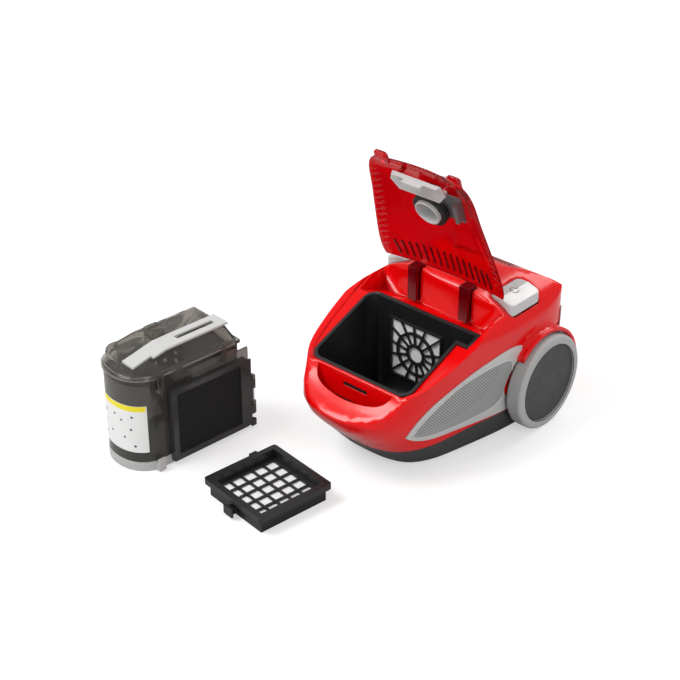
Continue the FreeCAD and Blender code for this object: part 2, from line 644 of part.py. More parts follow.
# ---------------------------------------------------------------- inside the hood
def motor():
    """Can, stator, and the rotor with its shaft and impeller, along Y."""
    def at(y):
        return V(MOTOR_X, y, MOTOR_Z)

    can = cyl(MOTOR_R, at(MOTOR_Y0), at(MOTOR_Y1)).cut(
        cyl(MOTOR_R - 2, at(MOTOR_Y0 + 2.5), at(MOTOR_Y1 - 2.5)))
    can = can.cut(cyl(17, at(MOTOR_Y0 - 1), at(MOTOR_Y0 + 4)))
    vents = []
    for k in range(8):
        vent = box(MOTOR_X - 4, MOTOR_X + 4, MOTOR_Y1 - 4, MOTOR_Y1 + 1, MOTOR_Z + 18, MOTOR_Z + 36)
        vent.rotate(at(0), Y_AXIS, 45 * k)
        vents.append(vent)
    can = can.cut(Part.makeCompound(vents))
    rear_hub = tube(9, 4 + RUNNING_GAP, at(MOTOR_Y1 - 14), at(MOTOR_Y1 - 2.5))
    can = can.fuse(rear_hub).removeSplitter()
    stator = tube(MOTOR_R - 2, 24, at(MOTOR_Y0 + 38), at(MOTOR_Y1 - 18))
    rotor = cyl(22, at(MOTOR_Y0 + 38), at(MOTOR_Y1 - 18))
    shaft = cyl(4, at(MOTOR_Y0 + 12), at(MOTOR_Y1 - 4))
    rotor = rotor.fuse(shaft).removeSplitter()
    disc = cyl(38, at(MOTOR_Y0 + 24), at(MOTOR_Y0 + 27))
    boss = cyl(8, at(MOTOR_Y0 + 12), at(MOTOR_Y0 + 27))
    blades = []
    for k in range(9):
        blade = box(MOTOR_X + 9, MOTOR_X + 37, MOTOR_Y0 + 14, MOTOR_Y0 + 25, MOTOR_Z - 0.8,
                    MOTOR_Z + 0.8)
        blade.rotate(V(MOTOR_X + 9, 0, MOTOR_Z), Y_AXIS, 28)
        blade.rotate(at(0), Y_AXIS, 40 * k)
        blades.append(blade)
    impeller = fuse([disc, boss] + blades).cut(cyl(4, at(0), at(200)))
    mounts = [tube(MOTOR_R + 5, MOTOR_R, at(y), at(y + 9))
              for y in (MOTOR_Y0 + 6, MOTOR_Y1 - 16)]
    return can, stator, rotor, impeller, Part.makeCompound(mounts)


def motor_cradle():
    """Two saddles standing on the base pan, under the rubber mounts."""
    saddles = []
    for y in (MOTOR_Y0 + 6, MOTOR_Y1 - 16):
        saddle = box(MOTOR_X - 40, MOTOR_X + 40, y, y + 9, 8 + WALL, MOTOR_Z - 18)
        saddles.append(saddle.cut(cyl(MOTOR_R + 5, V(MOTOR_X, 0, MOTOR_Z), V(MOTOR_X, 200, MOTOR_Z))))
    return Part.makeCompound(saddles)


def reel():
    """Empty cord drum on a spindle, and the bracket that carries the spindle."""
    def at(x):
        return V(x, REEL_Y, REEL_Z)

    drum = fuse([cyl(REEL_R, at(REEL_X0 + 4), at(REEL_X0 + 6)),
                 cyl(REEL_R, at(REEL_X1 - 6), at(REEL_X1 - 4)),
                 cyl(26, at(REEL_X0 + 4), at(REEL_X1 - 4))])
    drum = drum.cut(cyl(6 + RUNNING_GAP, at(REEL_X0), at(REEL_X1)))
    spindle = cyl(6, at(REEL_X0), at(REEL_X1))
    wall = box(REEL_X0, REEL_X0 + 3, REEL_Y - 16, REEL_Y + 16, 8 + WALL, REEL_Z + 16)
    other = box(REEL_X1 - 3, REEL_X1, REEL_Y - 16, REEL_Y + 16, 8 + WALL, REEL_Z + 16)
    return drum, fuse([spindle, wall, other])


def pedal(side):
    """A silver foot pedal that sits in a pocket on the shoulder, with its guide stem."""
    slab = rounded_prism(PEDAL_X0, PEDAL_X1, PEDAL_Y0, PEDAL_Y1, PEDAL_Z0, PEDAL_Z1, 8.5)
    top_cut = prism(polygon([V(PEDAL_X0 - 1, 60, PEDAL_Z1 + 1), V(PEDAL_X0 - 1, 60, PEDAL_Z1),
                             V(PEDAL_X0 + 18, 60, PEDAL_Z1), V(PEDAL_X1 + 1, 60, PEDAL_Z1 - 7),
                             V(PEDAL_X1 + 1, 60, PEDAL_Z1 + 1)]), V(0, 100, 0))
    middle = V((PEDAL_X0 + PEDAL_X1) / 2, (PEDAL_Y0 + PEDAL_Y1) / 2, 0)
    stem = cyl(STEM_PEDAL_R, middle + V(0, 0, 168), middle + V(0, 0, PEDAL_Z0 + 1))
    shape = slab.cut(top_cut).fuse(stem).removeSplitter()
    spring = tube(8.5, 6.8, middle + V(0, 0, PEDAL_Z0 - 5.9), middle + V(0, 0, PEDAL_Z0 - 0.1))
    if side < 0:
        return mirrored(shape), mirrored(spring)
    return shape, spring


def power_switch():
    middle_x, middle_y = (PEDAL_X0 + PEDAL_X1) / 2, (PEDAL_Y0 + PEDAL_Y1) / 2
    body = box(middle_x - 8, middle_x + 8, middle_y - 10, middle_y + 10, 149, 160)
    return body.fuse(cyl(3, V(middle_x, middle_y, 160), V(middle_x, middle_y, 163))).removeSplitter()


def circuit_board():
    middle_x, middle_y = (PEDAL_X0 + PEDAL_X1) / 2, (PEDAL_Y0 + PEDAL_Y1) / 2
    board = box(middle_x - 14, middle_x + 12, middle_y - 25, middle_y + 25, 147, 149)
    choke = cyl(6, V(middle_x - 5, middle_y - 18, 149), V(middle_x - 5, middle_y - 18, 158))
    capacitor = box(middle_x - 11, middle_x + 9, middle_y + 13, middle_y + 22, 149, 159)
    return fuse([board, choke, capacitor])


def exhaust_grille():
    """A ribbed cap that follows the back of the hood."""
    skin = HULL.cut(HULL_INNER).common(grille_prism(0.25))
    slits = [box(-46, 46, 158 + k * 5.4, 160.6 + k * 5.4, 150, 240) for k in range(8)]
    return biggest(skin.cut(Part.makeCompound(slits)))


def rear_trims():
    """An upright silver oval on each rear shoulder, proud of the shell."""
    oval = rounded_prism(TRIM_Y0, TRIM_Y1, TRIM_Z0, TRIM_Z1, 80, 130, (TRIM_Y1 - TRIM_Y0) / 2 - 0.1)
    oval.rotate(V(0, 0, 0), V(1, 1, 1), 120)
    trim = hull(-PANEL_PROUD).common(oval).cut(HULL)
    trim = biggest(trim.cut(cyl(WHEEL_R + 9.4, V(90, WHEEL_Y, WHEEL_R), V(150, WHEEL_Y, WHEEL_R))))
    return Part.makeCompound([trim, mirrored(trim)])


def base_screws():
    screws = []
    for x, y in SCREW_PLACES:
        head = cyl(SCREW_HEAD_R, V(x, y, 8.3), V(x, y, 8 + WALL))
        screws.append(head.fuse(cyl(SCREW_R, V(x, y, 8 + WALL), V(x, y, 24))).removeSplitter())
    return Part.makeCompound(screws)


def cord_gland():
    start, end = V(GLAND_X, 206, GLAND_Z), V(GLAND_X, 223, GLAND_Z)
    return tube(9, 4.5, start, end)


# ---------------------------------------------------------------- dust container
def container_outline(z, grow=0.0):
    """The container in plan: straight sides, one bowed end."""
    g = grow
    corner_a, corner_b = V(14, BODY_Y0 - g, z), V(8, BODY_Y1 + g, z)
    bow = [corner_b, V(-16 - g, 92, z), V(-27 - g, 56, z), V(-18 - g, 26, z), corner_a]
    far = BODY_L + g
    lines = [Part.makeLine(corner_a, V(far, BODY_Y0 - g, z)),
             Part.makeLine(V(far, BODY_Y0 - g, z), V(far, BODY_Y1 + g, z)),
             Part.makeLine(V(far, BODY_Y1 + g, z), corner_b)]
    return Part.Wire([spline_edge(bow)] + lines)


def container_prism(z0, z1, grow=0.0):
    return prism(container_outline(z0, grow), V(0, 0, z1 - z0))


DOOR_X0, DOOR_X1, DOOR_Z0, DOOR_Z1 = 28.0, 158.0, 6.0, 118.0
DOOR_HINGE = V(171.0, 5.0, 0)
KNUCKLES = [(2.5, 11), (27, 37), (68, 79)]
DOOR_WINDOW = (37.0, 147.0, 15.0, 110.0)


def container_body():
    shell = container_prism(BAND_H + 0.3, CONTAINER_TOP).cut(
        container_prism(BAND_H, CONTAINER_TOP + 5, -2.0))
    x0, x1, z0, z1 = DOOR_WINDOW
    shell = shell.cut(box(x0 + 4, x1 - 4, 0, 20, z0 + 6, z1 - 4))
    flange = box(BODY_L, DOOR_HINGE.x - 2.4, BODY_Y0 + 0.6, BODY_Y0 + 3.4, BAND_H + 6, 128)
    lugs = []
    for low, high in KNUCKLES[1:]:
        for z in (low - 4.4, high + 0.4):
            lug = cyl(4.2, DOOR_HINGE + V(0, 0, z), DOOR_HINGE + V(0, 0, z + 4))
            arm = box(DOOR_HINGE.x - 4, DOOR_HINGE.x + 1.5, 5, BODY_Y0 + 2, z, z + 4)
            lugs.append(lug.fuse(arm))
    shell = fuse([shell, flange] + lugs)
    return biggest(shell.cut(door_pin_shape()).removeSplitter())


def door_pin_shape():
    return cyl(2.0, DOOR_HINGE + V(0, 0, 20), DOOR_HINGE + V(0, 0, 86))


def filter_door():
    """A raised frame with the black filter panel, hung on knuckles at its rear edge."""
    x0, x1, z0, z1 = DOOR_WINDOW
    frame = box(DOOR_X0, DOOR_X1, 0, BODY_Y0 - 1.2, DOOR_Z0, DOOR_Z1)
    frame = frame.cut(box(x0, x1, -1, BODY_Y0 + 2, z0, z1))
    wing = box(DOOR_X1, DOOR_HINGE.x - 5, 1, 3.4, DOOR_Z0, DOOR_Z1 - 4)
    pin_hole = cyl(2.0 + RUNNING_GAP, DOOR_HINGE - V(0, 0, 1), DOOR_HINGE + V(0, 0, 100))
    knuckles = []
    for low, high in KNUCKLES:
        barrel = cyl(4.2, DOOR_HINGE + V(0, 0, low), DOOR_HINGE + V(0, 0, high))
        tongue = box(DOOR_HINGE.x - 6, DOOR_HINGE.x, 1, 4, low, high)
        knuckles.append(barrel.fuse(tongue))
    frame = fuse([frame, wing] + knuckles).cut(pin_hole)
    pleats = box(x0, x1, 3, BODY_Y0 - 1.4, z0, z1)
    return biggest(frame), pleats


def container_label():
    """The printed label wrapped round the bowed end."""
    sheet = container_prism(30, 104, 0.35).cut(container_prism(0, 200))
    return biggest(sheet.common(box(-60, 2, 14, 92, 20, 120)))


def container_flap():
    """The pale grey bottom cover, hinged at the far end and clipped near the bowed end."""
    cup = container_prism(0, BAND_H, 0.8).cut(container_prism(2.2, BAND_H + 2, -1.4))
    cup = cup.cut(box(FLAP_HINGE_X - 8, 200, 0, 140, BAND_H - 4, BAND_H + 5))
    barrel = cyl(4, V(FLAP_HINGE_X, 25, FLAP_HINGE_Z), V(FLAP_HINGE_X, 85, FLAP_HINGE_Z))
    web = box(BODY_L - 3, FLAP_HINGE_X, 25, 85, 3, FLAP_HINGE_Z)
    bore = cyl(1.5 + RUNNING_GAP, V(FLAP_HINGE_X, 0, FLAP_HINGE_Z), V(FLAP_HINGE_X, 110, FLAP_HINGE_Z))
    clip = box(2, 13, 1.5, BODY_Y0 + 2, 1, BAND_H - 0.5)
    tongue = box(2, 13, 1.5, 4.5, BAND_H - 1, BAND_H + 6)
    return fuse([cup, barrel, web, clip, tongue]).cut(bore)


def flap_pin():
    """The hinge pin of the bottom cover and the two ears that hold it to the body."""
    pin = cyl(1.5, V(FLAP_HINGE_X, 17, FLAP_HINGE_Z), V(FLAP_HINGE_X, 93, FLAP_HINGE_Z))
    ears = []
    for y0 in (18, 88):
        ear = box(FLAP_HINGE_X - 3, FLAP_HINGE_X + 3, y0, y0 + 4, FLAP_HINGE_Z - 3, 34)
        root = box(BODY_L, FLAP_HINGE_X + 3, y0, y0 + 4, 24, 34)
        ears.append(ear.fuse(root))
    return fuse([pin] + ears)


def container_separator():
    """The cone and perforated shroud that spin the dust out of the air."""
    centre = V(66, 55, 0)
    cone = Part.makeCone(10, 30, 60, centre + V(0, 0, 34)).cut(
        Part.makeCone(8, 28, 60, centre + V(0, 0, 33.9)))
    shroud = tube(30, 28, centre + V(0, 0, 94), centre + V(0, 0, 134))
    holes = []
    for k in range(12):
        hole = cyl(2.5, centre + V(20, 0, 0), centre + V(36, 0, 0))
        hole.rotate(centre, Z_AXIS, 30 * k)
        for z in (103, 113, 123):
            drop = hole.copy()
            drop.translate(V(0, 0, z))
            holes.append(drop)
    deck = container_prism(134, 137, -2.2).cut(cyl(28, centre, centre + V(0, 0, 200)))
    shroud = shroud.cut(Part.makeCompound(holes))
    return biggest(fuse([cone, shroud, deck]))


DOME_TOP = 173.0
LID_Z0 = CONTAINER_TOP + 0.3


def container_lid():
    """A clear domed lid with a rim, a port for the hose tube and two clips."""
    rim = container_prism(LID_Z0, LID_Z0 + 5, 3.0).cut(container_prism(LID_Z0 - 1, LID_Z0 + 6, -3.5))

    def dome(inset):
        low = container_outline(LID_Z0 + 5 - 2 * inset, -1.0 - inset)
        high = container_outline(DOME_TOP - inset, -13.0 - inset)
        shape = Part.makeLoft([low, high], True, True)
        slope = [(-60, 152 - inset), (34, DOME_TOP - inset), (34, 100), (-60, 100)]
        keep = prism(polygon([V(x, -20, z) for x, z in slope]), V(0, 160, 0))
        return shape.common(keep.fuse(box(34, 200, -20, 140, 100, DOME_TOP - inset)))

    port = rounded_prism(PORT_X - 11, PORT_X + 11, PORT_Y - 11, PORT_Y + 11, 158, 184, 3)
    port_hole = rounded_prism(PORT_X - 9, PORT_X + 9, PORT_Y - 9, PORT_Y + 9, 140, 190, 2)
    shell = fuse([rim, dome(0).cut(dome(2.0)), port]).cut(port_hole)
    return biggest(shell)


def container_clips():
    """Snap clips that reach down from the lid's rim over the body."""
    clips = []
    for x in (10, 118):
        clip = box(x, x + 9, BODY_Y0 - 6.2, BODY_Y0 - 3.2, 122, LID_Z0 + 6)
        toe = box(x, x + 9, BODY_Y0 - 3.2, BODY_Y0 - 0.6, 122, 126)
        clips.append(clip.fuse(toe).removeSplitter())
    return Part.makeCompound(clips)


def lid_hinge_barrel():
    """The lid's hinge along its far long side: barrels on the lid, pin and ears on the body."""
    y, z = BODY_Y1 + 6.5, LID_Z0 + 0.5
    barrels = [tube(3.5, 1.5 + RUNNING_GAP, V(x, y, z), V(x + 24, y, z)) for x in (24, 104)]
    webs = [box(x, x + 24, BODY_Y1 + 3.0, y - 1.6, z + 1.2, z + 3.4) for x in (24, 104)]
    pin = cyl(1.5, V(16, y, z), V(136, y, z))
    ears = []
    for x in (17, 49.5, 97, 129.5):
        ear = box(x, x + 5, BODY_Y1, y + 2.5, z - 14, z - 5)
        post = box(x, x + 5, y - 2.5, y + 2.5, z - 6, z)
        ears.append(ear.fuse(post).fuse(cyl(3, V(x, y, z), V(x + 5, y, z))))
    moving = [b.fuse(w) for b, w in zip(barrels, webs)]
    bore = cyl(1.5 + RUNNING_GAP, V(0, y, z), V(200, y, z))
    return Part.makeCompound([m.cut(bore).removeSplitter() for m in moving]), fuse([pin] + ears)


def container_handle():
    """The grey carrying strap over the dome, bent to its slope, with a long slot."""
    y0, y1 = 16, 46
    path = [(-16, 165.2), (34, DOME_TOP + 3.6), (60, DOME_TOP + 4), (140, DOME_TOP + 4)]
    under = [(x, z - 3.2) for x, z in reversed(path)]
    strap = prism(polygon([V(x, y0, z) for x, z in path + under]), V(0, y1 - y0, 0))
    strap = strap.cut(box(62, 126, 27, 35, 150, 200)).cut(box(-30, 14, 0, y0 + 6, 150, 200))
    feet = [box(x, x + 5, y, y + 5, DOME_TOP + 0.05, DOME_TOP + 1.5)
            for x in (70, 132) for y in (y0 + 1, y1 - 6)]
    return fuse([strap] + feet)


# ---------------------------------------------------------------- filter cassette
def cassette():
    half = CASSETTE_W / 2
    flange = rounded_prism(-half, half, -half, half, 19, CASSETTE_H, 4)
    tub = box(-half + 6, half - 6, -half + 6, half - 6, 0, 19.5)
    well = box(-half + 9, half - 9, -half + 9, half - 9, 15, 40)
    sump = box(-half + 9, half - 9, -half + 9, half - 9, 2, 12)
    frame = fuse([flange, tub]).cut(well).cut(sump)
    cell = (CASSETTE_W - 24 - GRID_BAR) / GRID_N
    start = -half + 12 + GRID_BAR / 2
    holes = []
    for i in range(GRID_N):
        for j in range(GRID_N):
            x, y = start + i * cell, start + j * cell
            holes.append(box(x + GRID_BAR / 2, x + cell - GRID_BAR / 2, y + GRID_BAR / 2,
                             y + cell - GRID_BAR / 2, -1, 16))
    frame = frame.cut(Part.makeCompound(holes))
    lug = box(-6, 6, -1, 7, 19, CASSETTE_H - 2)
    lug.translate(V(half - 34, half - 0.5, 0))
    frame = frame.fuse(lug).removeSplitter()
    media = box(-half + 9.3, half - 9.3, -half + 9.3, half - 9.3, 2.3, 11.7)
    spring_arm = box(-half - 4, -half + 6, -9, 9, 8, 11)
    grip = box(-half - 7, -half - 4, -9, 9, 3, 17)
    tab = fuse([spring_arm.cut(box(-half + 5.9, 0, -50, 50, 0, 40)), grip])
    return biggest(frame), media, tab


# ---------------------------------------------------------------- set down and write
def set_down(shape, place, yaw):
    moved = shape.copy()
    moved.rotate(V(0, 0, 0), Z_AXIS, yaw)
    moved.translate(place)
    return moved


def build():
    shell = upper_shell()
    gland = cord_gland()
    gland_hole = cyl(9, V(GLAND_X, 200, GLAND_Z), V(GLAND_X, 240, GLAND_Z))
    parts["upper_shell"] = biggest(shell.cut(gland_hole))
    parts["cord_gland"] = gland
    parts["base_pan"] = base_pan()
    parts["bay_liner"] = bay_liner()
    parts["side_panel_right"] = side_panel()
    parts["side_panel_left"] = mirrored(parts["side_panel_right"])
    parts["motor_filter_grille"], parts["motor_filter_foam"] = motor_filter()
    parts["filter_housing"] = filter_housing()
    tyre, hub = rear_wheel()
    axle = wheel_axle()
    for side, name in ((1, "right"), (-1, "left")):
        place = (lambda shape: shape) if side > 0 else mirrored
        parts["wheel_tyre_" + name] = place(tyre)
        parts["wheel_hub_" + name] = place(hub)
        parts["wheel_axle_" + name] = place(axle)
    parts["caster_fork"], parts["caster_axle"], parts["caster_roller"] = caster()
    lid = lid_place(lid_shell())
    parts["lid_shell"] = lid
    parts["lid_arms"] = lid_arms().cut(lid)
    parts["hinge_pins"] = hinge_pins()
    parts["hinge_bracket"] = hinge_bracket()
    for name, shape in zip(("inlet_tube", "inlet_seal", "inlet_clamp"), inlet_parts()):
        parts[name] = lid_place(shape)
    parts["latch_handle"] = lid_place(latch_handle())
    names = ("motor_can", "motor_stator", "motor_rotor", "impeller", "motor_mounts")
    parts.update(zip(names, motor()))
    parts["motor_cradle"] = motor_cradle()
    parts["reel_drum"], parts["reel_bracket"] = reel()
    parts["power_pedal"], parts["pedal_spring_right"] = pedal(1)
    parts["rewind_pedal"], parts["pedal_spring_left"] = pedal(-1)
    parts["power_switch"] = power_switch()
    parts["circuit_board"] = circuit_board()
    parts["exhaust_grille"] = exhaust_grille()
    parts["exhaust_filter"] = box(-48, 48, 152, 186, 150, 168)
    parts["base_screws"] = base_screws()
    parts["rear_trims"] = rear_trims()

    barrels, ears = lid_hinge_barrel()
    door, pleats = filter_door()
    container = {
        "container_body": container_body(), "container_label": container_label(),
        "container_separator": container_separator(), "door_pin": door_pin_shape(),
        "container_lid_hinge": ears, "flap_pin": flap_pin(),
        "container_flap": container_flap(), "filter_door_frame": door,
        "door_filter": pleats, "container_lid": container_lid(),
        "container_lid_barrels": barrels, "container_clips": container_clips(),
        "container_handle": container_handle(),
    }
    for name, shape in container.items():
        parts[name] = set_down(shape, CONTAINER_AT, CONTAINER_YAW)
    for name, shape in zip(("cassette_frame", "cassette_media", "cassette_tab"), cassette()):
        parts[name] = set_down(shape, CASSETTE_AT, CASSETTE_YAW)


build()
os.makedirs("parts", exist_ok=True)
low = [1e9] * 3
high = [-1e9] * 3
for name, shape in parts.items():
    shape.translate(V(0, 0, 0) - SET_MIDDLE)
    shape.exportStep("parts/" + name + ".step")
    b = shape.BoundBox
    low = [min(p) for p in zip(low, (b.XMin, b.YMin, b.ZMin))]
    high = [max(p) for p in zip(high, (b.XMax, b.YMax, b.ZMax))]
    print(name, "solids", len(shape.Solids), "valid", shape.isValid(), "mm3", round(shape.Volume))
print("box", [round(v, 1) for v in low], [round(v, 1) for v in high])
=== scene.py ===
"""The looks of a canister vacuum cleaner with its lid raised, its dust container and its
filter cassette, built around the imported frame."""
import json
import math

import bmesh
import bpy
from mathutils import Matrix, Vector
from mathutils.bvhtree import BVHTree


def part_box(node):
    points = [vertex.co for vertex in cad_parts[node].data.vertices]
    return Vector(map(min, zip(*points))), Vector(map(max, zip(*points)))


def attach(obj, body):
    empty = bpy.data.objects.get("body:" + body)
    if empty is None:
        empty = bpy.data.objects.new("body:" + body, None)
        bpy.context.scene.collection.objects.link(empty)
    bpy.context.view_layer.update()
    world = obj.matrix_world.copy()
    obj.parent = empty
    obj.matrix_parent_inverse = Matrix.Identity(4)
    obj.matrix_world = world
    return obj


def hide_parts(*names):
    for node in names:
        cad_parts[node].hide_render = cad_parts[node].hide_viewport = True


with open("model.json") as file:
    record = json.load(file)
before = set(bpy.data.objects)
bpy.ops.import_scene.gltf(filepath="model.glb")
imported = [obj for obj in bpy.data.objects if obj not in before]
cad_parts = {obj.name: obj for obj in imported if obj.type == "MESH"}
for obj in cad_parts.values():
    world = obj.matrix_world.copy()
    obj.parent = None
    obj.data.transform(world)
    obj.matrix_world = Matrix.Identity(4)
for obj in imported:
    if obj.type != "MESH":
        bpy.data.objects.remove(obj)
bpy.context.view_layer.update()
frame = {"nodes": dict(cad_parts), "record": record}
NODES = frame["nodes"]

MM = 0.001
PIVOT_Y, PIVOT_Z = 65.5, 211.0        # the lid's hinge, in the cleaner's own frame
PIN_LOW, PIN_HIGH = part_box("hinge_pins")
SHIFT = Vector(((PIN_LOW.x + PIN_HIGH.x) / 2, (PIN_LOW.y + PIN_HIGH.y) / 2 - 0.0655, 0))
CONTAINER_AT, CONTAINER_YAW = (-180.6, -313.4), 84.6
WHEEL_Y, WHEEL_R, WHEEL_FACE_X, HUB_R = 136.5, 70.4, 140.0, 57.5
LID_CHORD_DEG, LID_OPEN_DEG, LID_REAR_Y, LID_REAR_Z = 201.8, 92.0, 57.0, 209.5


def at(x, y, z):
    """A point of the cleaner's own frame, in millimetres, in the row frame."""
    return Vector((x, y, z)) * MM + SHIFT


def local(place, yaw, x, y, z):
    """A point of a piece that stands beside the cleaner, from its own frame."""
    c, s = math.cos(math.radians(yaw)), math.sin(math.radians(yaw))
    return at(place[0] + c * x - s * y, place[1] + s * x + c * y, z)


# ---------------------------------------------------------------- materials
def noise(tree, coords, scale, detail=3.0):
    """The value of a noise over the object's own coordinates."""
    node = tree.nodes.new("ShaderNodeTexNoise")
    node.inputs["Scale"].default_value = scale
    node.inputs["Detail"].default_value = detail
    tree.links.new(coords.outputs["Object"], node.inputs["Vector"])
    return node.outputs["Fac"]


def spread(tree, factor, low, high):
    """Stretches the middle of a noise's range to a range of values."""
    node = tree.nodes.new("ShaderNodeMapRange")
    node.inputs["From Min"].default_value = 0.3
    node.inputs["From Max"].default_value = 0.7
    node.inputs["To Min"].default_value = low
    node.inputs["To Max"].default_value = high
    tree.links.new(factor, node.inputs["Value"])
    return node.outputs["Result"]


def mix(tree, factor, one, two):
    """A mix of two colours, each a tuple or a socket."""
    node = tree.nodes.new("ShaderNodeMix")
    node.data_type = "RGBA"
    for socket, value in ((node.inputs[6], one), (node.inputs[7], two)):
        if isinstance(value, tuple):
            socket.default_value = (*value, 1.0)
        else:
            tree.links.new(value, socket)
    tree.links.new(factor, node.inputs[0])
    return node.outputs[2]


def tinted(color, amount):
    """A colour made darker or brighter."""
    return tuple(min(1.0, c * amount) for c in color)


GRILLE_ANGLES_DEG, GRILLE_SCALE = (35.0, -35.0), 62.0


def plastic(name, color, roughness, vary=0.06, grain=1500.0, bump=0.04, edge=0.5, **uniform):
    """A moulded plastic: broad tone changes, a fine grain, softened edges."""
    material = bpy.data.materials.new(name)
    material.use_nodes = True
    tree = material.node_tree
    shader = tree.nodes["Principled BSDF"]
    coords = tree.nodes.new("ShaderNodeTexCoord")
    broad = noise(tree, coords, 22.0)
    tone = mix(tree, broad, tinted(color, 1 - vary), tinted(color, 1 + vary))
    tree.links.new(tone, shader.inputs["Base Color"])
    fine = noise(tree, coords, grain, 2.0)
    tree.links.new(spread(tree, noise(tree, coords, 60.0), roughness * 0.85, roughness * 1.15),
                   shader.inputs["Roughness"])
    relief = tree.nodes.new("ShaderNodeBump")
    relief.inputs["Strength"].default_value = bump
    relief.inputs["Distance"].default_value = 0.0004
    tree.links.new(fine, relief.inputs["Height"])
    if edge:
        soften = tree.nodes.new("ShaderNodeBevel")
        soften.samples = 4
        soften.inputs["Radius"].default_value = edge * MM
        tree.links.new(soften.outputs["Normal"], relief.inputs["Normal"])
    tree.links.new(relief.outputs["Normal"], shader.inputs["Normal"])
    for socket, value in uniform.items():
        shader.inputs[socket.replace("_", " ")].default_value = value
    return material


RED_COLOR = (0.74, 0.001, 0.002)
RED = plastic("red_gloss", RED_COLOR, 0.17, vary=0.03, bump=0.012, edge=1.2,
              Coat_Weight=0.12, Coat_Roughness=0.05, Specular_IOR_Level=0.3)
RUBY = plastic("ruby_clear", (0.8, 0.001, 0.006), 0.06, vary=0.05, bump=0.01, edge=0.5,
               Transmission_Weight=0.8, IOR=1.42)
RUBY_DARK = plastic("ruby_dark", (0.2, 0.001, 0.006), 0.12, vary=0.1, bump=0.01,
                    Transmission_Weight=0.5, IOR=1.5)
BASE = plastic("base_grey", (0.036, 0.036, 0.037), 0.46, vary=0.1, bump=0.1, edge=1.0)
BLACK = plastic("black_plastic", (0.012, 0.012, 0.013), 0.4, vary=0.15, bump=0.08)
BAY = plastic("bay_black", (0.009, 0.009, 0.01), 0.36, vary=0.15, bump=0.08)
SILVER = plastic("silver_plastic", (0.56, 0.56, 0.555), 0.36, vary=0.03, grain=2600.0,
                 bump=0.05, edge=0.7, Metallic=0.15, Coat_Weight=0.15)
TYRE = plastic("tyre_grey", (0.4, 0.4, 0.395), 0.5, vary=0.05, bump=0.1, edge=0.8)
HUB = plastic("hub_grey", (0.046, 0.046, 0.048), 0.52, vary=0.08, grain=900.0, bump=0.25)
STEEL = plastic("steel", (0.56, 0.56, 0.58), 0.3, vary=0.08, grain=700.0, Metallic=1.0)
COPPER = plastic("copper_dark", (0.32, 0.12, 0.05), 0.4, vary=0.3, grain=500.0, Metallic=0.7)
ALUMINIUM = plastic("aluminium", (0.76, 0.76, 0.78), 0.28, vary=0.05, Metallic=1.0)
RUBBER = plastic("soft_rubber", (0.016, 0.016, 0.017), 0.62, vary=0.15, grain=700.0, bump=0.2)
DARK = plastic("dark_metallic", (0.17, 0.17, 0.175), 0.33, vary=0.05, bump=0.05)
BOARD = plastic("board_green", (0.02, 0.16, 0.07), 0.4, vary=0.2)
SMOKE = plastic("smoke_clear", (0.3, 0.285, 0.265), 0.07, vary=0.06, bump=0.01, edge=0.4,
                Transmission_Weight=0.9, IOR=1.4)
SMOKE_LID = plastic("smoke_lid", (0.62, 0.59, 0.55), 0.05, vary=0.05, bump=0.01, edge=0.4,
                    Transmission_Weight=0.95, IOR=1.4)
SMOKE_DARK = plastic("smoke_dark", (0.06, 0.058, 0.057), 0.16, vary=0.1, bump=0.02,
                     Transmission_Weight=0.25, IOR=1.45)
PALE = plastic("pale_grey", (0.5, 0.5, 0.49), 0.38, vary=0.03, bump=0.06)
YELLOW = plastic("label_yellow", (0.93, 0.8, 0.02), 0.4, vary=0.03, edge=0.0)
INK = plastic("label_ink", (0.06, 0.06, 0.07), 0.5, vary=0.2, edge=0.0)
LABEL = plastic("label_white", (0.87, 0.87, 0.86), 0.35, vary=0.02, edge=0.2)


def fibrous(name, color):
    """A non-woven filter medium."""
    material = bpy.data.materials.new(name)
    material.use_nodes = True
    tree = material.node_tree
    shader = tree.nodes["Principled BSDF"]
    coords = tree.nodes.new("ShaderNodeTexCoord")
    fibre = noise(tree, coords, 1400.0, 8.0)
    cloud = noise(tree, coords, 90.0, 5.0)
    tree.links.new(mix(tree, cloud, tinted(color, 0.9), tinted(color, 1.08)),
                   shader.inputs["Base Color"])
    relief = tree.nodes.new("ShaderNodeBump")
    relief.inputs["Strength"].default_value = 0.5
    relief.inputs["Distance"].default_value = 0.0008
    tree.links.new(fibre, relief.inputs["Height"])
    tree.links.new(relief.outputs["Normal"], shader.inputs["Normal"])
    shader.inputs["Roughness"].default_value = 0.9
    return material


